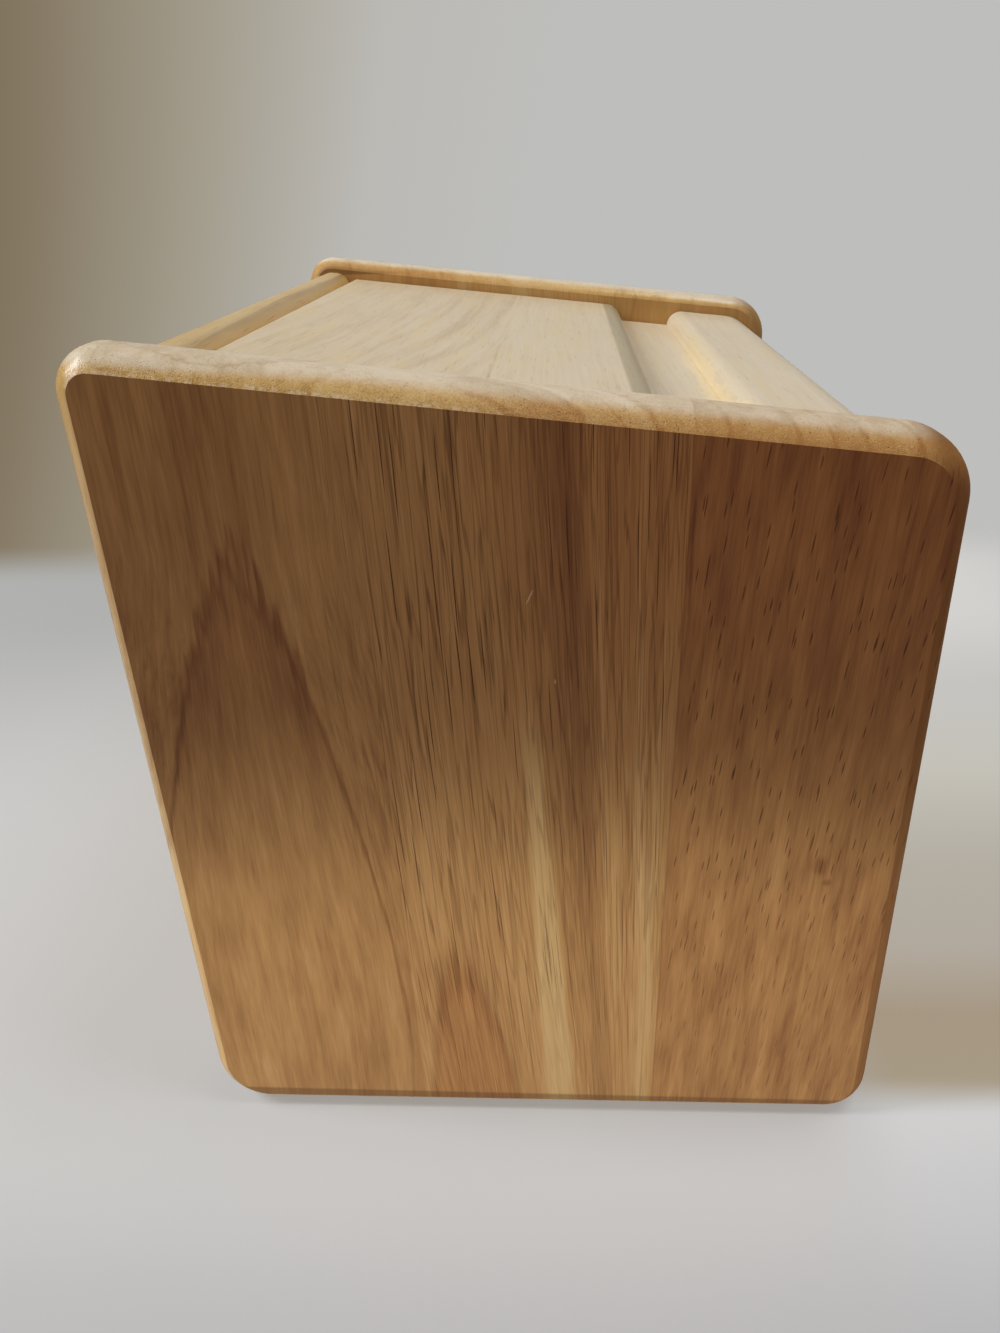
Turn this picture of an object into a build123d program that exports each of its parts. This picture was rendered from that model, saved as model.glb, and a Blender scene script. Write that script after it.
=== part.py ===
from build123d import *
import math
import os

# Wooden box for recipe cards, in millimetres.
# X runs along the box from end to end, the front faces -Y and Z is up.
# The origin is on the table, under the middle of the box.

# End panels, which carry everything and stand on the table
inner_length = 165.0
end_thickness = 12.7
panel_depth = 145.0
back_height = 168.0
front_height = 149.2
back_corner_radius = 7.4
front_corner_radius = 12.0
back_foot_radius = 12.5
front_foot_radius = 9.5
outer_edge_radius = 7.0
outer_sanding = 0.85
inner_edge_radius = 4.5
inner_sanding = 0.3

# Back and front boards, which stand inside the outline of the end panels
board_thickness = 9.5
board_setback = 3.6
board_foot_gap = 5.0
board_edge_radius = 4.0
board_foot_radius = 2.0
front_board_top_radius = 1.0

# Bottom board, held in grooves all round
bottom_thickness = 6.0
bottom_height = 6.0
groove_depth = 4.0
groove_clearance = 0.2

# Lid, one board between the end panels with a finger channel along its top
lid_thickness = 12.7
lid_recess = 5.2
rail_rise = 1.2
lid_end_gap = 0.5
lid_rest_gap = 0.2
lid_overhang = 3.0
nose_radius = 11.0
nose_land = 13.4
channel_width = 23.7
channel_depth = 4.4
channel_lip_radius = 4.2
lid_rear_radius = 1.2
lid_heel_radius = 5.0
lid_lip_radius = 1.2
lid_end_chamfer = 0.4

# Hinge pins, pressed into the lid's ends and turning in blind bores in the end panels
hinge_pin_diameter = 3.2
hinge_pin_chamfer = 0.4
pin_from_rear = 5.5
pin_below_top = 4.0
pin_in_lid = 12.0
pin_in_panel = 7.5
pin_end_gap = 0.5
running_clearance = 0.05
swing_clearance = 0.3

# Blind dowels that join the back and front boards to the end panels
dowel_diameter = 6.0
dowel_chamfer = 0.8
dowel_in_panel = 8.0
dowel_in_board = 18.0
dowel_end_gap = 0.5
dowel_glue_gap = 0.05
dowel_margin = 32.0
dowels_per_joint = 2

# How the pieces are cut: cutters run past the face they open, and roundings leave some flat between them
cutter_overrun = 1.0
least_flat = 0.1

# Places that follow from the sizes
box_length = inner_length + 2 * end_thickness
slope = math.atan((back_height - front_height) / panel_depth)
back_board_outer = panel_depth / 2 - board_setback
back_board_inner = back_board_outer - board_thickness
front_board_outer = -panel_depth / 2 + board_setback + lid_overhang
front_board_inner = front_board_outer + board_thickness
bottom_low = board_foot_gap + bottom_height
bottom_high = bottom_low + bottom_thickness


def slope_height(y, below):
    """Height at depth y of the plane that lies below the slanted top line of the end panels."""
    return back_height - (panel_depth / 2 - y) * math.tan(slope) - below / math.cos(slope)


def on_slope(along, below):
    """The (y, z) point that lies along the slanted top from the back, and below it."""
    y = panel_depth / 2 - along * math.cos(slope) + below * math.sin(slope)
    z = back_height - along * math.sin(slope) - below * math.cos(slope)
    return y, z


# The lid's rear top corner swings on this radius, and just clears the back board
swing_radius = lid_rear_radius + math.hypot(
    pin_from_rear - lid_rear_radius, pin_below_top - lid_rear_radius
)
pin_y = back_board_inner - swing_radius - swing_clearance
pin_z = slope_height(pin_y, lid_recess + pin_below_top)
pin_along = (panel_depth / 2 - pin_y + (lid_recess + pin_below_top) * math.sin(slope)) / math.cos(slope)
lid_rear_along = pin_along - pin_from_rear

# The nose reaches as far forward as the setback allows
nose_centre_y = -panel_depth / 2 + board_setback + nose_radius
nose_along = (
    panel_depth / 2 - nose_centre_y + (lid_recess + nose_radius) * math.sin(slope)
) / math.cos(slope)
lid_width = nose_along + nose_radius - lid_rear_along
lid_length = inner_length - 2 * lid_end_gap


def rounded_section(corners):
    """Face through (x, y, radius) corners, each rounded by its own radius."""
    points = [(x, y) for x, y, radius in corners]
    return make_face(FilletPolyline(*points, radius=[radius for x, y, radius in corners], close=True))


def along_x(section, low, high):
    """Solid of a section drawn in (y, z), from low to high along X."""
    return extrude(Plane.YZ.offset(low) * section, high - low)


def box_between(x, y, z):
    """Box between the low and high values given for each axis."""
    return Pos((x[0] + x[1]) / 2, (y[0] + y[1]) / 2, (z[0] + z[1]) / 2) * Box(
        x[1] - x[0], y[1] - y[0], z[1] - z[0]
    )


def rod_along_x(radius, low, high, y, z):
    """Round bar from low to high along X at (y, z)."""
    return Pos((low + high) / 2, y, z) * Rot(0, 90, 0) * Cylinder(radius, high - low)


def chamfered_rod(radius, low, high, y, z, chamfer_size):
    """Round bar along X with both ends chamfered."""
    rod = rod_along_x(radius, low, high, y, z)
    return chamfer(rod.edges().filter_by(GeomType.CIRCLE), chamfer_size)


def spread(low, high, count):
    """Evenly spaced values from low to high."""
    return [low + (high - low) * step / (count - 1) for step in range(count)]


# Heights of the dowels in each board, clear of the groove and of the slanted top
back_board_y = (back_board_outer + back_board_inner) / 2
front_board_y = (front_board_outer + front_board_inner) / 2
back_dowel_heights = spread(
    board_foot_gap + dowel_margin,
    slope_height(back_board_y, lid_recess - rail_rise) - dowel_margin,
    dowels_per_joint,
)
front_dowel_heights = spread(
    board_foot_gap + dowel_margin,
    slope_height(front_board_y, lid_recess + lid_thickness) - dowel_margin,
    dowels_per_joint,
)
dowel_places = [(back_board_y, z) for z in back_dowel_heights]
dowel_places += [(front_board_y, z) for z in front_dowel_heights]


def end_panel():
    """Left end panel: a board with a slanted top and well rounded edges."""
    half = panel_depth / 2
    outline = rounded_section(
        [
            (-half, 0, front_foot_radius),
            (half, 0, back_foot_radius),
            (half, back_height, back_corner_radius),
            (-half, front_height, front_corner_radius),
        ]
    )
    outer_face = -box_length / 2
    inner_face = -inner_length / 2
    blank = along_x(outline, outer_face - outer_sanding, inner_face + inner_sanding)
    outer_rim = blank.faces().sort_by(Axis.X)[0].edges()
    rounded = fillet(outer_rim, min(outer_edge_radius, back_corner_radius - least_flat))
    inner_rim = rounded.faces().sort_by(Axis.X)[-1].edges()
    rounded = fillet(inner_rim, min(inner_edge_radius, back_corner_radius - least_flat))
    # Sanding the two faces flat leaves a crisp line where the roundings meet them
    slab = box_between(
        (outer_face, inner_face),
        (-half - cutter_overrun, half + cutter_overrun),
        (-cutter_overrun, back_height + cutter_overrun),
    )
    panel = rounded & slab
    # Stopped groove for the bottom board, which doesn't show from outside
    groove_reach = groove_depth + groove_clearance
    mouth = inner_face + cutter_overrun
    panel -= box_between(
        (inner_face - groove_reach, mouth),
        (front_board_inner - groove_reach, back_board_inner + groove_reach),
        (bottom_low, bottom_high + groove_clearance),
    )
    # Blind bores for the dowels and for the hinge pin
    dowel_bore_end = inner_face - dowel_in_panel - dowel_end_gap
    for y, z in dowel_places:
        panel -= rod_along_x(dowel_diameter / 2 + dowel_glue_gap, dowel_bore_end, mouth, y, z)
    pin_bore_end = inner_face - pin_in_panel - pin_end_gap
    panel -= rod_along_x(hinge_pin_diameter / 2 + running_clearance, pin_bore_end, mouth, pin_y, pin_z)
    return panel


def bore_board_ends(board, y, heights):
    """Board with blind dowel bores in both of its ends."""
    bore_radius = dowel_diameter / 2 + dowel_glue_gap
    for z in heights:
        for side in (-1, 1):
            mouth = side * (inner_length / 2 + cutter_overrun)
            end = side * (inner_length / 2 - dowel_in_board - dowel_end_gap)
            board -= rod_along_x(bore_radius, min(mouth, end), max(mouth, end), y, z)
    return board


def cut_bottom_groove(board, inner, direction):
    """Board with the groove for the bottom board, cut from its inner face."""
    floor = inner + direction * (groove_depth + groove_clearance)
    mouth = inner - direction * cutter_overrun
    return board - box_between(
        (-inner_length / 2 - cutter_overrun, inner_length / 2 + cutter_overrun),
        (min(floor, mouth), max(floor, mouth)),
        (bottom_low, bottom_high + groove_clearance),
    )


def back_board():
    """Back board, whose rounded top stands a little proud of the lid."""
    below = lid_recess - rail_rise
    section = rounded_section(
        [
            (back_board_inner, board_foot_gap, board_foot_radius),
            (back_board_outer, board_foot_gap, board_foot_radius),
            (back_board_outer, slope_height(back_board_outer, below), board_edge_radius),
            (back_board_inner, slope_height(back_board_inner, below), board_edge_radius),
        ]
    )
    board = along_x(section, -inner_length / 2, inner_length / 2)
    board = cut_bottom_groove(board, back_board_inner, 1)
    return bore_board_ends(board, back_board_y, back_dowel_heights)


def front_board():
    """Front board, whose bevelled top edge carries the closed lid."""
    below = lid_recess + lid_thickness + lid_rest_gap
    section = rounded_section(
        [
            (front_board_outer, board_foot_gap, board_foot_radius),
            (front_board_inner, board_foot_gap, board_foot_radius),
            (front_board_inner, slope_height(front_board_inner, below), front_board_top_radius),
            (front_board_outer, slope_height(front_board_outer, below), front_board_top_radius),
        ]
    )
    board = along_x(section, -inner_length / 2, inner_length / 2)
    board = cut_bottom_groove(board, front_board_inner, -1)
    return bore_board_ends(board, front_board_y, front_dowel_heights)


def bottom_board():
    """Bottom board, standing in the grooves of the four boards round it."""
    reach = inner_length / 2 + groove_depth
    return box_between(
        (-reach, reach),
        (front_board_inner - groove_depth, back_board_inner + groove_depth),
        (bottom_low, bottom_high),
    )


def lid():
    """Lid: a finger channel and a rounded nose at the front, and a rear edge shaped to swing."""
    lip = min(channel_lip_radius, channel_depth - least_flat)
    channel_front = nose_along - lid_rear_along - nose_land - lip
    channel_rear = channel_front - channel_width + 2 * lip
    section = rounded_section(
        [
            (0, 0, lid_rear_radius),
            (channel_rear, 0, lip),
            (channel_rear, -channel_depth, 0),
            (channel_front, -channel_depth, 0),
            (channel_front, 0, lip),
            (lid_width, 0, nose_radius),
            (lid_width, -lid_thickness, lid_lip_radius),
            (0, -lid_thickness, lid_heel_radius),
        ]
    )
    rear_y, rear_z = on_slope(lid_rear_along, lid_recess)
    lid_plane = Plane(
        origin=(lid_length / 2, rear_y, rear_z),
        x_dir=(0, -math.cos(slope), -math.sin(slope)),
        z_dir=(-1, 0, 0),
    )
    board = extrude(lid_plane * section, lid_length)
    board = chamfer(board.faces().filter_by(Axis.X).edges(), lid_end_chamfer)
    for side in (-1, 1):
        mouth = side * (lid_length / 2 + cutter_overrun)
        end = side * (lid_length / 2 - pin_in_lid)
        board -= rod_along_x(hinge_pin_diameter / 2, min(mouth, end), max(mouth, end), pin_y, pin_z)
    return board


def hinge_pin(side):
    """Steel pin in one end of the lid, standing out into the end panel on that side."""
    inner = side * (lid_length / 2 - pin_in_lid)
    outer = side * (inner_length / 2 + pin_in_panel)
    return chamfered_rod(
        hinge_pin_diameter / 2, min(inner, outer), max(inner, outer), pin_y, pin_z, hinge_pin_chamfer
    )


def dowels(y, heights):
    """Dowels at both ends of one board, half in the board and half in the end panels."""
    pins = []
    for z in heights:
        for side in (-1, 1):
            inner = side * (inner_length / 2 - dowel_in_board)
            outer = side * (inner_length / 2 + dowel_in_panel)
            pins.append(
                chamfered_rod(dowel_diameter / 2, min(inner, outer), max(inner, outer), y, z, dowel_chamfer)
            )
    return Compound(children=pins)


left_panel = end_panel()
pieces = {
    "left_end_panel": left_panel,
    "right_end_panel": mirror(left_panel, about=Plane.YZ),
    "back_board": back_board(),
    "front_board": front_board(),
    "bottom_board": bottom_board(),
    "lid": lid(),
    "left_hinge_pin": hinge_pin(-1),
    "right_hinge_pin": hinge_pin(1),
    "back_dowels": dowels(back_board_y, back_dowel_heights),
    "front_dowels": dowels(front_board_y, front_dowel_heights),
}

os.makedirs("parts", exist_ok=True)
for name, piece in pieces.items():
    export_step(piece, "parts/" + name + ".step")
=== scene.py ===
import math

import bpy
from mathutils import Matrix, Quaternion, Vector


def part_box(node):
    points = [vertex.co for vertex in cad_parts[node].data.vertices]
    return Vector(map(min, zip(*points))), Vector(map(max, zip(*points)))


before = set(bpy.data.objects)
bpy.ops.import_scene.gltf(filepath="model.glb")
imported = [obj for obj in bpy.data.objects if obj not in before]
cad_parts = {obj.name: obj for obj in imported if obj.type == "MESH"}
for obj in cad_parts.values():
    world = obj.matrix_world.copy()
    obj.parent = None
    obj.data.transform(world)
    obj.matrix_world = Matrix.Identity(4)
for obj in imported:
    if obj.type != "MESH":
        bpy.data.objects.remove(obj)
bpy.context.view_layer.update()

# The camera stands close to the left end of the box and a little above it,
# tipped down far enough to see the lid and the whole end panel.
camera_place = (-0.24297, -0.00800, 0.18717)
camera_heading = math.radians(4.4016)
camera_tip = math.radians(-26.8612)
camera_roll = math.radians(-2.7106)
camera_lens = 25.967
camera_sensor = 36.0
camera_nearest = 0.01

ahead = Vector((
    math.cos(camera_tip) * math.cos(camera_heading),
    math.cos(camera_tip) * math.sin(camera_heading),
    math.sin(camera_tip),
))
lens_data = bpy.data.cameras.new("camera")
lens_data.lens = camera_lens
lens_data.sensor_width = camera_sensor
lens_data.sensor_fit = "AUTO"
lens_data.clip_start = camera_nearest
camera = bpy.data.objects.new("camera", lens_data)
camera.location = camera_place
camera.rotation_mode = "QUATERNION"
camera.rotation_quaternion = ahead.to_track_quat("-Z", "Y") @ Quaternion((0, 0, 1), camera_roll)
bpy.context.collection.objects.link(camera)
bpy.context.scene.camera = camera
bpy.context.scene.view_settings.view_transform = "Standard"


# End panels: boards glued up from three staves of pale hardwood, grain upright, sawn to the
# slanted outline, rounded all round and lacquered. They carry the other pieces on blind dowels.
end_panel_finish = {
    "left_end_panel": {"turned": False, "stock": 0.0, "golden": 0.0},
    "right_end_panel": {"turned": True, "stock": 37.0, "golden": 0.4},
}
panel_low, panel_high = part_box("left_end_panel")
mm = 1000.0
outer_face = -panel_low[0] * mm
panel_back = panel_high[1] * mm
panel_depth = (panel_high[1] - panel_low[1]) * mm
panel_height = panel_high[2] * mm
stock_below_foot = 2.0
panel_relief_height = 0.10
panel_gloss = 0.34

face_colours = [
    (0.00, (76, 42, 19)), (0.25, (133, 89, 48)), (0.50, (190, 148, 94)),
    (0.75, (217, 186, 138)), (1.00, (236, 218, 182)),
]
round_colours = [
    (0.00, (122, 74, 28)), (0.25, (184, 134, 66)), (0.50, (222, 188, 121)),
    (0.75, (234, 210, 156)), (1.00, (246, 233, 200)),
]
crest_sheen_colours = [
    (0.00, (168, 142, 104)), (0.25, (212, 194, 160)), (0.50, (236, 225, 200)),
    (0.75, (242, 234, 215)), (1.00, (248, 243, 230)),
]
golden_tint = (206, 162, 92)
red_tint = (176, 100, 60)
front_shade_colour = (134, 90, 52)
low_rim_shade_colour = (190, 136, 74)
pale_streak_tint = (214, 190, 128)
pore_colour = (74, 31, 10)
pore_mouth_colour = (122, 76, 32)
arris_glint_colour = (246, 236, 212)
foot_shade_colour = (96, 62, 30)
scratch_colour = (236, 214, 180)

# Sockets of Blender's Mix node where it mixes colours
mix_share, mix_first, mix_second, mix_result = 0, 6, 7, 2


def linear(colour):
    """The linear values of an sRGB colour written as three numbers from 0 to 255."""
    shares = [c / 255 for c in colour]
    return [c / 12.92 if c <= 0.04045 else ((c + 0.055) / 1.055) ** 2.4 for c in shares] + [1.0]


def set_stops(ramp, stops):
    """Gives a colour ramp its (place, linear colour) stops."""
    while len(ramp.elements) < len(stops):
        ramp.elements.new(0.5)
    for element, (place, colour) in zip(ramp.elements, stops):
        element.position = place
        element.color = colour


class Reading:
    """A number that a finish works out at every point. It adds and multiplies as numbers do."""

    def __init__(self, finish, socket):
        self.finish = finish
        self.socket = socket

    def maths(self, operation, *others):
        """The result of one operation on this reading and the others."""
        return self.finish.maths(operation, self, *others)

    def __add__(self, other):
        return self.maths("ADD", other)

    __radd__ = __add__

    def __sub__(self, other):
        return self.maths("SUBTRACT", other)

    def __rsub__(self, other):
        return self.finish.maths("SUBTRACT", other, self)

    def __mul__(self, other):
        return self.maths("MULTIPLY", other)

    __rmul__ = __mul__

    def __truediv__(self, other):
        return self.maths("DIVIDE", other)

    def root(self):
        return self.maths("SQRT")

    def over(self, low, high):
        """0 below low, 1 above high, and a smooth rise between. Low is above high for a fall."""
        falls = low > high
        node = self.finish.node("ShaderNodeMapRange", interpolation_type="SMOOTHSTEP", clamp=True)
        self.finish.tree.links.new(self.socket, node.inputs["Value"])
        node.inputs["From Min"].default_value = high if falls else low
        node.inputs["From Max"].default_value = low if falls else high
        node.inputs["To Min"].default_value = 1.0 if falls else 0.0
        node.inputs["To Max"].default_value = 0.0 if falls else 1.0
        return Reading(self.finish, node.outputs["Result"])

    def near(self, place, reach):
        """1 at a place, falling smoothly to 0 at the reach to either side of it."""
        return (self - place).maths("ABSOLUTE").over(reach, 0.0)

    def between(self, low, high, soft):
        """1 from low to high, with soft ends."""
        return self.over(low - soft, low + soft) * self.over(high + soft, high - soft)

    def lines(self, *rows):
        """Sum of soft lines. A row is a line's place, its reach and, if not 1, its strength."""
        total = None
        for place, reach, *strength in rows:
            line = self.near(place, reach)
            if strength:
                line = line * strength[0]
            total = line if total is None else total + line
        return total


class Finish:
    """A material under construction, with its nodes wired by readings."""

    def __init__(self, name):
        self.material = bpy.data.materials.new(name)
        self.material.use_nodes = True
        self.tree = self.material.node_tree
        self.tree.nodes.clear()
        self.place = self.node("ShaderNodeTexCoord")
        split = self.node("ShaderNodeSeparateXYZ")
        self.tree.links.new(self.place.outputs["Object"], split.inputs[0])
        self.x, self.y, self.z = [Reading(self, split.outputs[i]) * mm for i in range(3)]
        facing = self.node("ShaderNodeSeparateXYZ")
        self.tree.links.new(self.place.outputs["Normal"], facing.inputs[0])
        self.facing = [Reading(self, facing.outputs[i]) for i in range(3)]

    def node(self, kind, **settings):
        """A new node with its settings."""
        node = self.tree.nodes.new(kind)
        for key, value in settings.items():
            setattr(node, key, value)
        return node

    def feed(self, socket, value):
        """Sets a socket to a plain value, or wires a reading or another socket into it."""
        if isinstance(value, Reading):
            self.tree.links.new(value.socket, socket)
        elif isinstance(value, bpy.types.NodeSocket):
            self.tree.links.new(value, socket)
        else:
            socket.default_value = value

    def maths(self, operation, *values):
        """One operation on readings or plain numbers."""
        node = self.node("ShaderNodeMath", operation=operation)
        for socket, value in zip(node.inputs, values):
            self.feed(socket, value)
        return Reading(self, node.outputs[0])

    def point(self, *places):
        """A point whose three places are readings or numbers."""
        node = self.node("ShaderNodeCombineXYZ")
        for socket, value in zip(node.inputs, places):
            self.feed(socket, value)
        return node.outputs[0]

    def cloud(self, places, detail=2.0, roughness=0.5):
        """Smooth random field between 0 and 1, over places measured in clouds."""
        node = self.node("ShaderNodeTexNoise", noise_dimensions="3D")
        self.feed(node.inputs["Vector"], self.point(*places))
        node.inputs["Scale"].default_value = 1.0
        node.inputs["Detail"].default_value = detail
        node.inputs["Roughness"].default_value = roughness
        return Reading(self, node.outputs["Fac"])

    def grains(self, places, flat=False):
        """Distance to the nearest of many scattered points, one to a cell, over places measured
        in cells. Flat leaves the third place out."""
        dimensions = "2D" if flat else "3D"
        node = self.node("ShaderNodeTexVoronoi", voronoi_dimensions=dimensions, feature="F1")
        self.feed(node.inputs["Vector"], self.point(*places))
        node.inputs["Scale"].default_value = 1.0
        return Reading(self, node.outputs["Distance"])

    def band(self, reading, stops, curve):
        """Colour read from (place, linear colour) stops."""
        node = self.node("ShaderNodeValToRGB")
        node.color_ramp.interpolation = curve
        set_stops(node.color_ramp, stops)
        self.feed(node.inputs["Fac"], reading)
        return node.outputs["Color"]

    def ramp(self, reading, stops):
        """Colour read from a list of (place, colour) stops."""
        return self.band(reading, [(place, linear(colour)) for place, colour in stops], "LINEAR")

    def level(self, reading, stops):
        """Number between 0 and 1 read from a list of (place, number) stops."""
        greys = [(place, (number, number, number, 1.0)) for place, number in stops]
        return Reading(self, self.band(reading, greys, "EASE"))

    def mix(self, share, first, second, blend="MIX"):
        """Colour between two colours, or one blended over the other."""
        node = self.node("ShaderNodeMix", data_type="RGBA", blend_type=blend)
        self.feed(node.inputs[mix_share], share)
        for place, colour in ((mix_first, first), (mix_second, second)):
            self.feed(node.inputs[place], linear(colour) if isinstance(colour, tuple) else colour)
        return node.outputs[mix_result]

    def surface(self, colour, roughness, relief, relief_height, gloss=0.5, metal=0.0):
        """The finished material. Relief runs from 0 to 1, and its height is in millimetres."""
        shader = self.node("ShaderNodeBsdfPrincipled")
        self.feed(shader.inputs["Base Color"], colour)
        self.feed(shader.inputs["Roughness"], roughness)
        shader.inputs["Metallic"].default_value = metal
        shader.inputs["IOR"].default_value = 1.5
        shader.inputs["Specular IOR Level"].default_value = gloss
        bump = self.node("ShaderNodeBump")
        bump.inputs["Strength"].default_value = 1.0
        bump.inputs["Distance"].default_value = relief_height / mm
        self.feed(bump.inputs["Height"], relief)
        self.tree.links.new(bump.outputs["Normal"], shader.inputs["Normal"])
        output = self.node("ShaderNodeOutputMaterial")
        self.tree.links.new(shader.outputs["BSDF"], output.inputs["Surface"])
        return self.material


def radius(side, depth):
    """Distance from a pith that lies this far to the side and this deep."""
    return (side * side + depth * depth).root()


def vessels(finish, across, along, pitch, length, width):
    """Open pores of the wood, 1 inside one: thin tubes that lie along the grain, seen as pointed
    dashes. Scattered points are stretched along the grain, and a pore is what lies near one."""
    share = width / (2 * pitch)
    cell = length / (2 * share)
    apart = finish.grains((across / pitch, along / cell, 0.0), flat=True)
    size = finish.cloud((across / 3, along / 9, 0.0), 1.0) * 0.8 + 0.55
    return (apart / size).over(share, share * 0.5)


def end_panel_wood(name, turned, stock, golden_share):
    """Three glued staves: a flat-sawn one with a pointed flame, a striped one with long pores,
    and a plain one. Places are in millimetres: across from the back edge, up from the stock's
    foot and deep behind the outer face. Tone runs from 0, dark, to 1, pale, and the number
    beside a mark is how far that mark moves it."""
    wood = Finish(name)
    if turned:
        across = wood.y + panel_back
        up = panel_height + stock_below_foot - wood.z
        deep = outer_face - wood.x
    else:
        across = panel_back - wood.y
        up = wood.z + stock_below_foot
        deep = wood.x + outer_face

    def field(strand, width, length, detail=2.0, roughness=0.5):
        """Random field from 0 to 1, in clouds this wide across the grain and this long."""
        places = (strand / width + stock, deep / width, up / length)
        return wood.cloud(places, detail, roughness)

    def figure(strand, width, length, detail=2.0, roughness=0.5):
        """The same from -0.5 to 0.5."""
        return field(strand, width, length, detail, roughness) - 0.5

    def even(size):
        """Places for a field that isn't drawn out along the grain."""
        return across / size, deep / size, up / size

    # Slow wander of the fibres, which every line below follows
    wander = figure(across, 26, 90, 1.0)
    ripple = figure(across, 5, 26)
    quiver = figure(across, 1.4, 17)

    # Where the staves meet: places at the foot, and how much the joints lean on the way up
    joint_blur = 0.15
    first_joint_foot, first_joint_lean = 47.9, 0.0077
    second_joint_foot, second_joint_lean = 98.05, 0.017
    first_joint = first_joint_foot - up * first_joint_lean
    second_joint = second_joint_foot + up * second_joint_lean
    in_flame_stave = (across - first_joint).over(joint_blur, -joint_blur)
    in_plain_stave = (across - second_joint).over(-joint_blur, joint_blur)
    in_striped_stave = (1.0 - in_flame_stave) * (1.0 - in_plain_stave)

    # Flame stave: year rings round a pith behind the face, which nears the face towards the
    # foot. The ring of the flame's radius leaves the face at the tip.
    flame_radius, flame_tip, flame_axis = 25.0, 135.0, 21.6
    axis_shift, axis_shift_height = 3.6, 30.0
    pith_slope, pith_curve = 0.077, 0.00134
    least_half_width, strand_width, strand_slack = 12.0, 24.0, 4.0
    under_tip = flame_tip - up
    below_tip = under_tip.maths("MAXIMUM", 0.0)
    pith_across = flame_axis + (below_tip / -axis_shift_height).maths("EXPONENT") * axis_shift
    pith_deep = flame_radius - under_tip * pith_slope - below_tip * below_tip * pith_curve
    from_pith = across - pith_across
    flame_ring = radius(from_pith, pith_deep - deep) + wander * 1.6 + ripple * 0.5
    jagged = flame_ring + quiver * (0.9 + up.over(96.0, 134.0) * 1.4)
    dark_ring = jagged.between(24.40, 24.95, 0.32)
    tip_smudge = jagged.over(20.5, 24.4) * jagged.over(25.2, 24.6) * up.over(80.0, 112.0)
    inside = jagged.over(25.1, 24.7)
    outside = 1.0 - inside
    outer_rings = jagged.lines((30.6, 0.8), (36.4, 0.9), (27.8, 0.6, 0.6))
    cut_depth = (flame_radius ** 2 - pith_deep * pith_deep).maths("MAXIMUM", 0.0)
    half_width = (cut_depth + least_half_width ** 2).root()
    flame_strand = pith_across + from_pith * strand_width / (half_width + strand_slack)
    flame_streaks = figure(flame_strand, 1.3, 22, 3.0, 0.65)
    flame_mottle = figure(flame_strand, 4.5, 24)
    flame_fibres = figure(flame_strand, 0.36, 9, 2.0, 0.6)
    halo_streaks = wood.cloud((jagged / 0.8 + stock, across / 14, up / 11), 3.0, 0.65) - 0.5
    halo = up.over(134.0, 118.0) * 0.08 + up.between(84.0, 124.0, 12.0) * 0.28
    flanks = up.between(42.0, 100.0, 10.0)
    pale_shoulder = outside * across.over(24.0, 36.0) * up.over(60.0, 104.0)
    foot_blush = up.near(18.0, 9.0) * across.near(36.5, 6.0)
    back_rim = across.over(7.0, 2.0)
    above_tip = across.near(25.0, 14.0) * up.over(112.0, 138.0)
    flame_tone = (
        0.430 - dark_ring * (0.09 + flanks * 0.06) - tip_smudge * 0.075 + inside * 0.02
        - outer_rings * 0.035 + flame_streaks * 0.30 + flame_mottle * 0.28 + flame_fibres * 0.16
        + halo_streaks * outside * halo + pale_shoulder * 0.05 - foot_blush * 0.03
        - back_rim * 0.03 - above_tip * 0.04
    )

    # Striped stave: rings round a pith in front of the face. Its fibres run down and to the
    # front, most of all in the middle of the panel.
    sweep_top, sweep_height, sweep_power, sweep_most = 150.0, 135.0, 1.5, 7.0
    sweep_shares = [(0.0, 0.12), (0.17, 0.3), (0.32, 0.8), (0.55, 1.0), (0.68, 0.1)]
    below_top = sweep_top - up
    fall = (below_top / sweep_height).maths("MAXIMUM", 0.0).maths("POWER", sweep_power)
    sweep = fall * sweep_most
    lean = wood.level(across / panel_depth, sweep_shares)
    plain_lean = in_plain_stave * below_top * 0.05
    strand = across - sweep * lean + plain_lean + wander * 2.0

    far_axis, far_foot = 57.5, 48.0
    low_flame_radius = 26.0
    first_streak, streak_span = 24.0, 30.0
    far_pith = 26.0 + (up - far_foot) * 0.041
    from_far_pith = strand - far_axis
    stripe_ring = radius(from_far_pith, deep + far_pith) + ripple * 0.8 + quiver * 0.5
    low_across = across - far_axis - (far_foot - up) * 0.04
    straight_ring = radius(low_across, deep + far_pith) + wander * 0.8 + quiver * 0.5
    low_flame = straight_ring.near(low_flame_radius, 0.5)
    low_blush = straight_ring.over(low_flame_radius + 0.2, low_flame_radius - 0.3)
    ring_share = (stripe_ring + (far_pith - 28.0) * -0.6 - first_streak) / streak_span
    right_half = from_far_pith.over(3.0, 9.0)
    streak_tone = wood.level(ring_share, [
        (0.00, 0.50), (0.20, 0.50), (0.27, 0.48), (0.32, 0.42), (0.38, 0.35), (0.43, 0.27),
        (0.47, 0.38), (0.53, 0.56), (0.58, 0.47), (0.66, 0.50), (0.72, 0.62), (0.77, 0.50),
        (1.00, 0.50),
    ])

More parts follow.
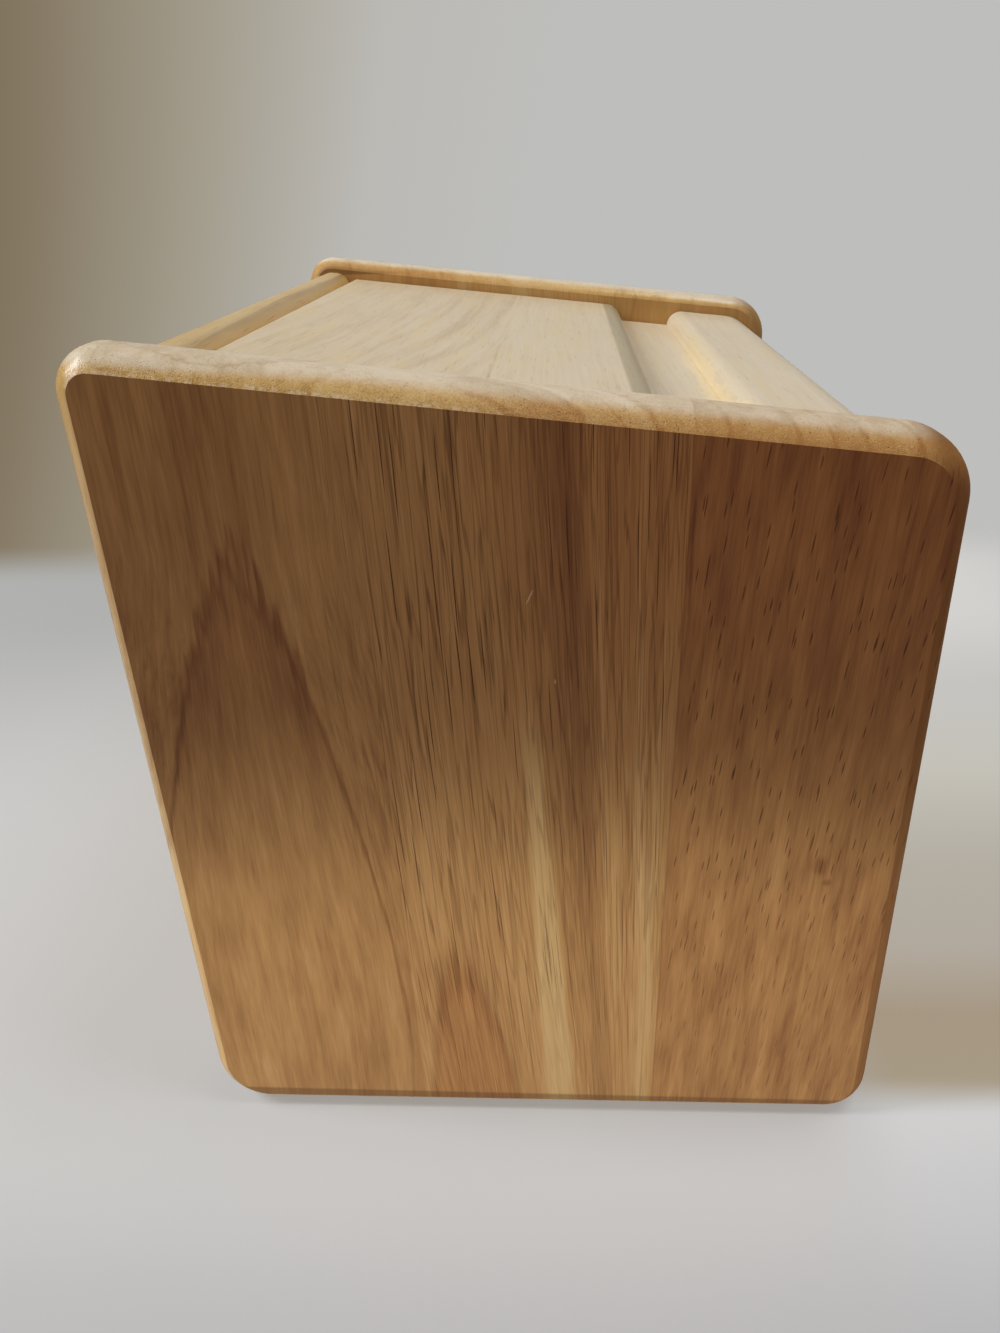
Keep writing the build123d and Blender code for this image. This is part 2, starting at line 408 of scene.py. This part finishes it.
    # Its three pale streaks: places at the foot, and the third by its gap to the joint
    first_pale_foot, second_pale_foot, third_pale_gap = 78.5, 91.4, 2.6
    pale_half_width = 3.5 - up * 0.017
    from_first = across + ripple * 1.6 + quiver * 1.4 - first_pale_foot + up * 0.045
    from_first = (from_first / pale_half_width).maths("ABSOLUTE")
    first_pale = from_first.over(1.2, 0.5) * up.over(120.0, 84.0)
    from_second = across + quiver * 1.4 - second_pale_foot + up * 0.03
    second_pale = from_second.near(0.0, 1.3) * up.between(42.0, 84.0, 12.0)
    from_third = across + quiver * 1.4 + ripple * 1.5 - second_joint + third_pale_gap
    third_pale = from_third.near(0.0, 2.4) * up.over(140.0, 60.0)
    pale = first_pale + second_pale * 0.5 + third_pale * 0.55

    broad = figure(strand, 8, 70)
    stripes = figure(strand, 1.2, 50, 3.0, 0.65)
    fibres = figure(strand, 0.34, 12, 2.0, 0.6)
    streak_shift = (streak_tone - 0.5) * right_half * (0.72 + stripes * 1.4)
    striped_tone = (
        0.49 + streak_shift * (0.45 + up.over(22.0, 72.0) * 0.55) + pale * 0.13
        - low_flame * 0.10 - low_blush * 0.04 + stripes * 0.30 + fibres * 0.30
    )

    # Plain stave: almost flat rings, short pores, a fine check near the top, and an irregular
    # knot with a smaller mark under it
    knot_place, mark_place = (127.8, 71.0), (129.6, 67.0)
    check_place = 101.0
    plain_ring = across + deep * 0.34 + wander * 4.0 + ripple * 0.8
    plain_bands = plain_ring.lines((116.5, 2.0), (125.5, 1.8), (134.5, 2.2))
    plain_light = plain_ring.near(120.5, 2.5)
    knot_across = across - knot_place[0] + quiver * 2.6
    knot_up = up - knot_place[1] + ripple * 2.2
    from_knot = (knot_across * knot_across + knot_up * knot_up * 0.6).root() + flame_fibres * 0.9
    knot = from_knot.over(2.4, 0.5) * 0.60
    knot_halo = from_knot.over(7.0, 2.0)
    mark_across = across - mark_place[0]
    mark_up = up - mark_place[1]
    from_mark = (mark_across * mark_across + mark_up * mark_up * 1.2).root() + quiver
    mark = from_mark.over(1.3, 0.2)
    dark_check = (across - check_place).near(0.0, 0.5) * up.between(122.0, 145.0, 4.0)
    plain_streaks = figure(across - up * 0.10, 1.6, 16, 3.0, 0.6)
    plain_mottle = figure(across - up * 0.06, 4.5, 30)
    # Its tone falls towards the top as painted shade
    plain_tone = (
        0.445 - plain_bands * 0.035 + plain_light * 0.03 - knot * 0.20 - mark * 0.12
        - knot_halo * 0.02 + plain_streaks * 0.33 + fibres * 0.20 - dark_check * 0.12
        + plain_mottle * 0.28 - up.over(80.0, 140.0) * 0.02 - up.over(80.0, 40.0) * 0.025
        - across.over(136.0, 143.0) * 0.03
    )

    tone = (
        flame_tone * in_flame_stave + striped_tone * in_striped_stave
        + plain_tone * in_plain_stave + broad * 0.10
    )
    first_glue = (across - first_joint).near(0.0, 0.25)
    second_glue = (across - second_joint).near(0.0, 0.3)
    # Painted shade: the tone falls over the top of the face's front half
    painted_top_shade = across.over(40.0, 100.0) * up.over(100.0, 152.0)
    tone = tone - (first_glue * 0.4 + second_glue) * 0.07 - painted_top_shade * 0.062

    # Pores: long and close in the striped stave, short and slanted in the plain one, faint in
    # the flame. Each later row is shifted, so that it doesn't repeat the one before.
    crowd = figure(strand, 5, 60, 1.0)
    vein = figure(strand, 1.9, 62, 1.0)
    second_vein = wood.cloud((strand / 1.4 + stock + 9.0, deep / 1.4, up / 40), 1.0) - 0.5
    breaks = field(strand, 1.1, 22, 1.0) + crowd * 0.25
    long_lines = vein.maths("ABSOLUTE").over(0.034, 0.008) * breaks.over(0.40, 0.50)
    fine_lines = second_vein.maths("ABSOLUTE").over(0.05, 0.01) * breaks.over(0.60, 0.50)
    wavy = strand + ripple * 0.5 + stock
    slanted = across - up * 0.12 + ripple * 0.6
    long_pores = (
        vessels(wood, wavy, up, pitch=1.15, length=21.0, width=0.21)
        + vessels(wood, wavy + 17.0, up + 40.0, pitch=1.7, length=30.0, width=0.22)
    )
    short_pores = (
        vessels(wood, slanted, up, pitch=1.6, length=3.4, width=0.32)
        + vessels(wood, slanted + 31.0, up + 9.0, pitch=2.1, length=5.2, width=0.32)
    )
    in_stripes = in_striped_stave * (across.over(74.0, 66.0) * 0.25 + 0.75)
    by_joint = in_flame_stave * across.over(34.0, 47.0)
    pores = (
        long_pores * (in_stripes + by_joint * 0.4)
        + long_lines * (in_stripes * 0.42 + by_joint * 0.25)
        + fine_lines * (in_striped_stave * 0.32 + in_plain_stave * 0.12 + in_flame_stave * 0.10)
        + short_pores * (in_plain_stave * 0.70 + in_flame_stave * 0.10)
    ).maths("MINIMUM", 1.0) * (0.45 + up.over(10.0, 100.0) * 0.55)

    # The roundings cut across the fibres: paler, yellower wood full of tiny pore mouths, with the
    # year rings showing as arcs. Some of their paleness is painted sheen, and their crest is
    # painted whiter still as a sheen, the more so towards the back.
    steep = wood.facing[2].maths("ABSOLUTE")
    outward = wood.facing[0].maths("ABSOLUTE")
    end_grain = steep.over(0.18, 0.62)
    side_grain = 1.0 - end_grain
    crest_sheen = (steep + across.over(50.0, 12.0) * 0.16).over(0.70, 0.95)
    off_face = outward.over(0.985, 0.93)
    rounding = outward.over(0.97, 0.78)
    on_back = wood.facing[1].over(0.1, 0.6) * side_grain
    on_front = wood.facing[1].over(0.0, -0.55) * rounding
    mouths = wood.grains(even(0.42)).over(0.34, 0.16) * wood.cloud(even(1.1)).over(0.50, 0.64)
    sparks = wood.cloud(even(0.24), 1.0) - 0.5
    blotch = wood.cloud((across / 9 + stock, deep / 4, up / 9), 3.0, 0.6) - 0.5
    slope = figure(across, 2.2, 2.2)
    flame_arcs = jagged.lines((25.0, 1.0), (31.0, 0.8), (28.4, 0.5, 0.6))
    plain_arcs = plain_ring.lines(
        (116.5, 0.9), (122.0, 0.6), (127.0, 0.9), (135.0, 0.9), (106.0, 0.8)
    )
    stripe_arcs = (stripe_ring + slope).lines(
        (40.5, 1.0), (48.4, 0.9), (34.0, 0.8), (44.6, 0.5, 0.6)
    )
    arcs = (
        flame_arcs * in_flame_stave + plain_arcs * in_plain_stave + stripe_arcs * in_striped_stave
    ) * (1.0 - crest_sheen * 0.6) * (1.0 - golden_share) * (0.5 + across.over(40.0, 90.0) * 0.5)
    near_arris = deep.over(2.6, 0.4)
    edge = deep.over(0.02, 0.5) * deep.over(outer_face, outer_face - 1.0)
    tone = tone + edge * 0.03 + end_grain * (
        sparks * (0.10 + near_arris * 0.45) + blotch * 0.30 + slope * 0.12 - arcs * 0.17
    )

    # Colour of the face, then of the roundings over it
    colour = wood.mix(golden_share, wood.ramp(tone, face_colours), golden_tint)
    # The redder top of the face's front half is painted shade; the rest is the wood's own colour
    redder = (
        in_plain_stave * 0.10 + across.over(50.0, 100.0) * up.over(70.0, 145.0) * 0.3
        + tip_smudge * in_flame_stave * 0.12 + low_blush * in_striped_stave * 0.2
    )
    colour = wood.mix(redder, colour, red_tint, "SOFT_LIGHT")
    round_colour = wood.mix(crest_sheen, wood.ramp(tone, round_colours), wood.ramp(tone, crest_sheen_colours))
    # Painted light on the back rounding, which faces the lamp and takes more of the pale colour,
    # and painted shade darkening the front rounding
    round_share = rounding * (0.5 + on_back * 0.4) - on_front * 0.42 + end_grain * 0.38
    colour = wood.mix(round_share, colour, round_colour)
    colour = wood.mix(on_front * (0.66 - golden_share), colour, front_shade_colour)
    # Painted shade: the lower, front part of the top rounding, turned from the light, is more
    # orange, speckled by the end grain
    low_rim_shade = end_grain * steep.over(0.95, 0.60) * across.over(40.0, 120.0)
    colour = wood.mix(low_rim_shade * (0.58 - sparks * 1.2), colour, low_rim_shade_colour)
    colour = wood.mix(pale * in_striped_stave * side_grain * 0.3, colour, pale_streak_tint)
    colour = wood.mix(pores * side_grain * (0.95 - golden_share), colour, pore_colour)
    mouth_share = mouths * end_grain * (1.0 - crest_sheen * 0.5) * 0.6
    colour = wood.mix(mouth_share, colour, pore_mouth_colour)

    # Painted glint: the arris is painted pale in places along the back half of the top, where it
    # catches the light
    glint_breaks = field(across, 0.9, 0.9, 2.0, 0.6).over(0.42, 0.62)
    on_arris = deep.over(0.52, 0.2) * off_face
    painted_arris_glint = on_arris * across.over(92.0, 50.0) * steep.over(0.05, 0.25) * glint_breaks
    colour = wood.mix(painted_arris_glint * 0.36, colour, arris_glint_colour)

    # Painted shade: a dark line along the foot of the face, where its rounding turns from the
    # light
    painted_foot_shade = (up + across * 0.008).over(8.3, 7.6) * (1.0 - rounding)
    colour = wood.mix(painted_foot_shade * 0.55, colour, foot_shade_colour)

    # A slanted pale scratch and a fleck in the lacquer
    scratch_place, scratch_lean, fleck_place = (74.6, 127.0), 0.45, (78.6, 111.0)
    from_scratch = across - scratch_place[0] - (up - scratch_place[1]) * scratch_lean
    scratch = from_scratch.near(0.0, 0.22) * up.between(125.9, 128.1, 0.5)
    fleck = (across - fleck_place[0]).near(0.0, 0.25) * up.near(fleck_place[1], 0.7)
    colour = wood.mix((scratch + fleck) * 0.75, colour, scratch_colour)

    relief = (
        0.8 - pores * side_grain * 0.6 + fibres * 0.18 + stripes * 0.1
        - mouths * end_grain * 0.5 + sparks * end_grain * (0.12 + near_arris * 0.5)
    )
    shiny = rounding * across.over(90.0, 30.0)
    dull = rounding * across.over(60.0, 110.0) * 0.30 + on_front * 0.40 + pores * 0.35
    film = 0.40 + fibres * 0.12 - shiny * 0.16 + dull
    return wood.surface(colour, film, relief, panel_relief_height, panel_gloss)


def dress(node, material):
    """Puts a material on a CAD piece."""
    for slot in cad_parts[node].material_slots:
        slot.material = material


for node, finish in end_panel_finish.items():
    dress(node, end_panel_wood(
        node + "_wood", finish["turned"], finish["stock"], finish["golden"]
    ))


# Back and front boards: plain pale boards with the grain lengthwise, rounded along their edges
# and glued between the end panels on dowels. The back board's rounded top stands proud of the lid.
board_colours = [
    (0.00, (118, 82, 42)), (0.25, (170, 134, 80)), (0.50, (209, 180, 128)),
    (0.75, (224, 203, 160)), (1.00, (238, 223, 190)),
]
board_side_cut_and_light = (232, 186, 92)
board_pore_colour = (122, 86, 52)
board_ring_strength = 0.12
board_relief_height = 0.08
board_gloss = 0.42


def long_board_wood(name, stock, upright, ring_strength):
    """Wood with its grain along the box. Upright is for a board that stands on its edge, and the
    strength is how far a year ring darkens the tone."""
    wood = Finish(name)
    across, deep = (wood.z, wood.y) if upright else (wood.y, wood.z)

    def figure(strand, depth, width, length, detail=2.0, roughness=0.5):
        """Random field from -0.5 to 0.5, in clouds this wide across the grain and this long."""
        places = (wood.x / length + stock, strand / width, depth / width)
        return wood.cloud(places, detail, roughness) - 0.5

    pith_across, pith_depth, pith_flatness, ring_spacing = 60.0, 52.0, 1.4, 6.5
    wander = figure(across, deep, 24, 110, 1.0)
    ripple = figure(across, deep, 5, 30)
    strand = across + wander * 9.0 + ripple * 0.8
    depth = deep + wander * 4.0
    from_pith = strand - pith_across - stock
    over_pith = depth + pith_depth
    ring = (from_pith * from_pith + over_pith * over_pith * pith_flatness).root()
    year = (ring / ring_spacing + ripple * 0.3).maths("FRACT")
    late = year.over(0.45, 0.9) * year.over(1.0, 0.93)
    stripes = figure(strand, depth, 1.6, 60, 3.0, 0.6)
    fibres = figure(strand, depth, 0.34, 9, 2.0, 0.6)
    mottle = figure(across, deep, 6, 16, 3.0, 0.6)
    pores = vessels(wood, strand + depth + ripple, wood.x, pitch=2.0, length=7.0, width=0.32)
    more = vessels(wood, strand + depth + 5.0, wood.x + 13.0, pitch=2.8, length=12.0, width=0.36)
    pores = (pores * 0.5 + more * 0.5).maths("MINIMUM", 1.0)
    end_grain = wood.facing[0].maths("ABSOLUTE").over(0.3, 0.9)
    side = wood.facing[1].maths("ABSOLUTE").over(0.5, 0.95)
    tone = (
        0.52 - late * ring_strength + stripes * 0.22 + fibres * 0.14 + mottle * 0.14
        - end_grain * 0.1 + side * 0.08 + mottle * side * 0.3
    )
    # The broad faces are yellower, partly for the cut of the grain and partly as painted light
    colour = wood.mix(side * 0.5, wood.ramp(tone, board_colours), board_side_cut_and_light)
    colour = wood.mix(pores * 0.5, colour, board_pore_colour)
    relief = 0.8 - pores * 0.6 + fibres * 0.18 + stripes * 0.1
    film = 0.38 + fibres * 0.12 + pores * 0.15
    return wood.surface(colour, film, relief, board_relief_height, board_gloss)


for node, stock in (("back_board", 11.0), ("front_board", 23.0)):
    dress(node, long_board_wood(node + "_wood", stock, True, board_ring_strength))


# Bottom board: a thin plain board with its grain along the box. It floats in grooves cut all
# round the inside, so that it can swell and shrink.
dress("bottom_board", long_board_wood("bottom_board_wood", 5.0, False, board_ring_strength))


# Lid: one pale board glued up from two staves, with a finger channel cut along it and a rounded
# nose at the front. It swings on two pins near its rear top edge.
lid_slope = math.radians(7.387)
lid_colours = [
    (0.00, (138, 108, 70)), (0.25, (190, 164, 124)), (0.50, (218, 201, 170)),
    (0.75, (230, 217, 191)), (1.00, (241, 232, 212)),
]
lid_tint = (226, 202, 140)
lid_pore_colour = (140, 106, 66)
lip_shade_colour = (142, 128, 90)
wall_light_colour = (247, 224, 174)
amber_colour = (222, 160, 70)


def lid_wood():
    """Pale staves with the grain along the box: slanted rings in the rear one, straight lines in
    the front one. Places are in millimetres: along the slope from the back edge, and x from the
    middle of the box."""
    wood = Finish("lid_wood")
    slope_cos, slope_sin = math.cos(lid_slope), math.sin(lid_slope)
    along = (panel_back - wood.y) * slope_cos + (panel_height - wood.z) * slope_sin
    deep = wood.z * slope_cos - wood.y * slope_sin

    def field(strand, width, length, detail=2.0, roughness=0.5):
        """Random field from 0 to 1, in clouds this wide across the grain and this long."""
        places = (wood.x / length, strand / width, deep / width)
        return wood.cloud(places, detail, roughness)

    def figure(strand, width, length, detail=2.0, roughness=0.5):
        """The same from -0.5 to 0.5."""
        return field(strand, width, length, detail, roughness) - 0.5

    wander = figure(along, 22, 90, 1.0)
    ripple = figure(along, 4, 24)
    quiver = figure(along, 1.0, 12)
    stave_joint, joint_blur = 67.8, 0.15
    in_rear = (along - stave_joint).over(joint_blur, -joint_blur)

    # Rear stave: rings that slant across it and flatten out towards the far end
    ring_origin, climb, climb_length, climb_from = 74.0, 28.0, 60.0, 88.0
    climbed = ((wood.x + climb_from) / -climb_length).maths("EXPONENT") * climb
    ring = along + climbed - climb + wander * 5.0 + quiver * 1.2 + deep * 0.5 - ring_origin
    rings = ring.lines((29.0, 2.6, 0.8), (36.5, 3.4), (43.6, 2.2, 1.2), (17.0, 3.0, 0.5))
    hair_line = (along - 42.0 + quiver).near(0.0, 0.8) * wood.x.between(-7.0, 42.0, 6.0)
    rear_streaks = figure(ring * 0.6 + along * 0.4, 1.5, 40, 3.0, 0.6)

    # Front stave: fine straight lines
    strand = along + wander * 3.0 + ripple * 0.5
    streaks = figure(strand, 1.1, 46, 3.0, 0.65)
    fibres = figure(strand, 0.32, 8, 2.0, 0.6)
    mottle = figure(along, 6, 18, 3.0, 0.6)

    # Joint of the staves, open by a hair near the left end
    joint = (along - stave_joint + quiver * 0.7).near(0.0, 0.6) * wood.x.over(-2.0, -40.0)
    from_gap = along - (stave_joint - 0.2) + quiver * 0.9
    open_joint = from_gap.near(0.0, 0.55) * wood.x.between(-76.0, -57.0, 6.0)

    # The channel: painted shade under its rear lip, painted light from its floor on, a painted
    # highlight on its front wall, and an amber streak along that wall towards the left end
    patch_place, amber_place = 115.2, 116.4
    rough_edge = figure(along, 2.5, 5, 3.0, 0.65)
    faces_up = wood.facing[2].over(0.0, 0.2)
    on_wall = faces_up * wood.facing[2].over(0.96, 0.85)
    on_top = wood.facing[2].over(-0.2, 0.1)
    from_patch = along - patch_place + (rough_edge * 5.0 + ripple * 2.0)
    painted_wall_light = from_patch.between(-2.2, 1.6, 0.5) * wood.x.over(50.0, -10.0) * faces_up
    from_amber = along - amber_place + rough_edge * 2.0
    amber = from_amber.near(0.0, 1.3) * wood.x.over(-50.0, -76.0) * on_wall
    lip_shade = along.between(94.8, 99.4, 0.5) * on_top
    channel_light = along.over(98.5, 101.0) * on_top
    tint = field(along, 5, 34, 3.0, 0.6).over(0.42, 0.72)

    pore_strand = strand + deep * 0.5
    pores = vessels(wood, pore_strand + ripple, wood.x, pitch=2.0, length=6.0, width=0.30)
    more = vessels(wood, pore_strand + 5.0, wood.x + 13.0, pitch=2.8, length=9.0, width=0.34)
    pores = (pores * 0.4 + more * 0.4).maths("MINIMUM", 1.0)
    end_grain = wood.facing[0].maths("ABSOLUTE").over(0.3, 0.9)
    rear_tone = rear_streaks * 0.36 - rings * 0.070 - hair_line * 0.06 - 0.02
    front_tone = streaks * 0.38 + 0.02
    tone = (
        0.51 + rear_tone * in_rear + front_tone * (1.0 - in_rear) + fibres * 0.24
        + mottle * 0.20 - joint * 0.12 - open_joint * 0.26 - end_grain * 0.1
        - lip_shade * 0.06 + channel_light * 0.05
    )
    colour = wood.mix(tint * 0.32, wood.ramp(tone, lid_colours), lid_tint)
    colour = wood.mix(pores * 0.45, colour, lid_pore_colour)
    colour = wood.mix(lip_shade * 0.6, colour, lip_shade_colour)
    colour = wood.mix(painted_wall_light * 0.46, colour, wall_light_colour)
    colour = wood.mix(amber * 0.65, colour, amber_colour)
    relief = 0.8 - pores * 0.6 + fibres * 0.18 + streaks * 0.1 - open_joint * 0.5
    film = 0.38 + fibres * 0.12 + pores * 0.15
    return wood.surface(colour, film, relief, board_relief_height, board_gloss)


dress("lid", lid_wood())


# Hinge pins: short lengths of drawn steel wire, pressed into bores in the lid's ends. They turn
# in blind bores in the end panels, so that nothing of them shows.
steel_colours = [(0.3, (120, 120, 122)), (0.7, (165, 165, 168))]
steel_relief_height = 0.01


def drawn_steel():
    """Bare steel with fine lengthwise drawing marks and a dull oxide bloom."""
    steel = Finish("drawn_steel")
    marks = steel.cloud((steel.x / 6, steel.y / 0.08, steel.z / 0.08)) - 0.5
    bloom = steel.cloud((steel.x / 2, steel.y / 1.2, steel.z / 1.2))
    colour = steel.ramp(bloom + marks * 0.4, steel_colours)
    film = 0.34 + marks * 0.25 + bloom * 0.1
    return steel.surface(colour, film, 0.5 + marks, steel_relief_height, metal=1.0)


pin_material = drawn_steel()
for node in ("left_hinge_pin", "right_hinge_pin"):
    dress(node, pin_material)


# Dowels: hardwood pegs, glued blind into the ends of the back and front boards and into the
# end panels, two to each joint.
dowel_ring_strength = 0.05
dowel_material = long_board_wood("dowel_wood", 3.0, False, dowel_ring_strength)
for node in ("back_dowels", "front_dowels"):
    dress(node, dowel_material)


# Studio: a pale floor that isn't part of the box, a plain wall of light behind it, and soft
# lamps. What is seen of floor and wall has its own colour, apart from the light that they give.
floor_colour = (204, 206, 208)
floor_glow = (198, 196, 193)
floor_glow_share = 0.42
floor_bounce = (150, 128, 112)
far_left_colour = (140, 142, 134)
near_lens_colour = (160, 158, 158)
strip_before, strip_length = 150.0, 400.0
strip_colours = [
    (0.0, (140, 143, 148)), (0.095, (208, 208, 210)), (0.1425, (240, 240, 240)),
    (0.162, (180, 158, 108)), (0.21, (178, 150, 102)), (0.265, (202, 190, 170)),
    (0.355, (208, 201, 184)), (0.4825, (240, 238, 224)), (0.605, (246, 245, 240)),
]
floor_low, floor_high = (-2.5, -2.5), (0.30, 2.5)
floor_fade = 0.07


def shown_share(tree):
    """Socket that is 1 on rays that show the stage: from the camera, or by gloss or glass."""
    path = tree.nodes.new("ShaderNodeLightPath")
    shown = path.outputs["Is Camera Ray"]
    for kind in ("Is Glossy Ray", "Is Transmission Ray"):
        either = tree.nodes.new("ShaderNodeMath")
        either.operation = "MAXIMUM"
        tree.links.new(shown, either.inputs[0])
        tree.links.new(path.outputs[kind], either.inputs[1])
        shown = either.outputs[0]
    return shown


def shown_or_bounced(tree, shown_colour, bounced):
    """Socket of the colour that is shown, or the one that lights the box."""
    mix = tree.nodes.new("ShaderNodeMix")
    mix.data_type = "RGBA"
    tree.links.new(shown_share(tree), mix.inputs[mix_share])
    mix.inputs[mix_first].default_value = bounced
    if isinstance(shown_colour, bpy.types.NodeSocket):
        tree.links.new(shown_colour, mix.inputs[mix_second])
    else:
        mix.inputs[mix_second].default_value = shown_colour
    return mix.outputs[mix_result]


def mixed_shader(finish, share, first, second):
    """Socket of a shader between two shaders."""
    node = finish.node("ShaderNodeMixShader")
    for socket, value in zip(node.inputs, (share, first, second)):
        finish.feed(socket, value)
    return node.outputs[0]


floor_mesh = bpy.data.meshes.new("floor")
floor_mesh.from_pydata([
    (floor_low[0], floor_low[1], 0), (floor_high[0], floor_low[1], 0),
    (floor_high[0], floor_high[1], 0), (floor_low[0], floor_high[1], 0),
], [], [(0, 1, 2, 3)])
floor = bpy.data.objects.new("floor", floor_mesh)
bpy.context.collection.objects.link(floor)
cloth = Finish("floor_cloth")
matt = cloth.node("ShaderNodeBsdfDiffuse")
matt_colour = shown_or_bounced(cloth.tree, linear(floor_colour), linear(floor_bounce))
cloth.feed(matt.inputs["Color"], matt_colour)

# Its glow, in millimetres over the floor: painted shade far on the left and under the lens, and a
# strip in front of the box painted from the box's warm shadow out to full light
far_left = cloth.x.over(0.0, 190.0) * cloth.y.over(0.0, 230.0)
near_lens = cloth.x.over(-108.0, -150.0)
front_side = cloth.y.over(-56.0, -84.0) * cloth.y.over(-340.0, -190.0)
glow_colour = cloth.mix(far_left, floor_glow, far_left_colour)
glow_colour = cloth.mix(near_lens, glow_colour, near_lens_colour)
front_strip = cloth.ramp((cloth.x + strip_before) / strip_length, strip_colours)
glow = cloth.node("ShaderNodeEmission")
cloth.feed(glow.inputs["Color"], cloth.mix(front_side, glow_colour, front_strip))
glow_share = Reading(cloth, shown_share(cloth.tree)) * floor_glow_share
lit_cloth = mixed_shader(cloth, glow_share, matt.outputs[0], glow.outputs[0])
far_edge = (cloth.x / mm).over(floor_high[0] - floor_fade, floor_high[0])
clear = cloth.node("ShaderNodeBsdfTransparent")
faded = mixed_shader(cloth, far_edge, lit_cloth, clear.outputs[0])
cloth_output = cloth.node("ShaderNodeOutputMaterial")
cloth.feed(cloth_output.inputs["Surface"], faded)
floor_mesh.materials.append(cloth.material)


def softbox(name, place, target, size, level, colour):
    """Square lamp that lights a card facing it from the target's place to the given level."""
    data = bpy.data.lights.new(name, "AREA")
    data.shape = "RECTANGLE"
    data.size, data.size_y = size
    distance = (Vector(place) - Vector(target)).length
    data.energy = level * math.pi ** 2 * distance ** 2
    data.color = colour
    return hang_lamp(name, data, place, target)


def hang_lamp(name, data, place, target):
    """Lamp object at a place, turned to its target."""
    lamp = bpy.data.objects.new(name, data)
    lamp.location = place
    lamp.rotation_mode = "QUATERNION"
    lamp.rotation_quaternion = (Vector(target) - Vector(place)).to_track_quat("-Z", "Y")
    lamp.visible_camera = False
    bpy.context.collection.objects.link(lamp)
    return lamp


box_middle = (0.0, 0.0, 0.08)
softbox(
    "window", place=(-0.16, 1.05, 0.95), target=box_middle, size=(0.40, 0.6), level=0.74,
    colour=(0.98, 1.0, 1.03),
)
softbox(
    "ceiling", place=(-0.10, -0.50, 1.35), target=box_middle, size=(0.5, 0.6), level=0.33,
    colour=(0.99, 1.0, 1.02),
)

# A low lamp on the camera's side, whose beam ends in a soft line halfway up the end panel
beam_place = (-1.20, 0.02, 0.26)
beam_top = (-0.095, 0.0, 0.098)
beam_half_angle = math.radians(20.0)
beam_blend = 0.2
beam_lamp_radius = 0.02
beam_level = 0.475
beam_colour = (1.0, 0.98, 0.93)
top_ray = Vector(beam_top) - Vector(beam_place)
beam_axis = Quaternion((0, 1, 0), beam_half_angle) @ top_ray
beam = bpy.data.lights.new("low_beam", "SPOT")
beam.energy = beam_level * 4 * math.pi ** 2 * top_ray.length ** 2
beam.spot_size = 2 * beam_half_angle
beam.spot_blend = beam_blend
beam.shadow_soft_size = beam_lamp_radius
beam.color = beam_colour
hang_lamp("low_beam", beam, beam_place, Vector(beam_place) + beam_axis)

# The wall of light is the world, shaded from side to side and, less so, by height
wall_lean = 0.25
wall_shades = [
    (0.02, (190, 190, 188)), (0.18, (187, 185, 180)), (0.326, (163, 156, 140)),
    (0.45, (134, 122, 101)), (0.55, (110, 95, 74)),
]
fill_colour = (0.168, 0.130, 0.100, 1.0)
world = bpy.data.worlds.new("studio")
bpy.context.scene.world = world
world.use_nodes = True
sky = world.node_tree
wall = sky.nodes["Background"]
where = sky.nodes.new("ShaderNodeTexCoord")
split = sky.nodes.new("ShaderNodeSeparateXYZ")
sky.links.new(where.outputs["Generated"], split.inputs[0])
lifted = sky.nodes.new("ShaderNodeMath")
lifted.operation = "MULTIPLY_ADD"
sky.links.new(split.outputs["Z"], lifted.inputs[0])
lifted.inputs[1].default_value = wall_lean
sky.links.new(split.outputs["Y"], lifted.inputs[2])
wall_ramp = sky.nodes.new("ShaderNodeValToRGB")
set_stops(wall_ramp.color_ramp, [(place, linear(colour)) for place, colour in wall_shades])
sky.links.new(lifted.outputs[0], wall_ramp.inputs["Fac"])
sky.links.new(shown_or_bounced(sky, wall_ramp.outputs["Color"], fill_colour), wall.inputs["Color"])
wall.inputs["Strength"].default_value = 1.0
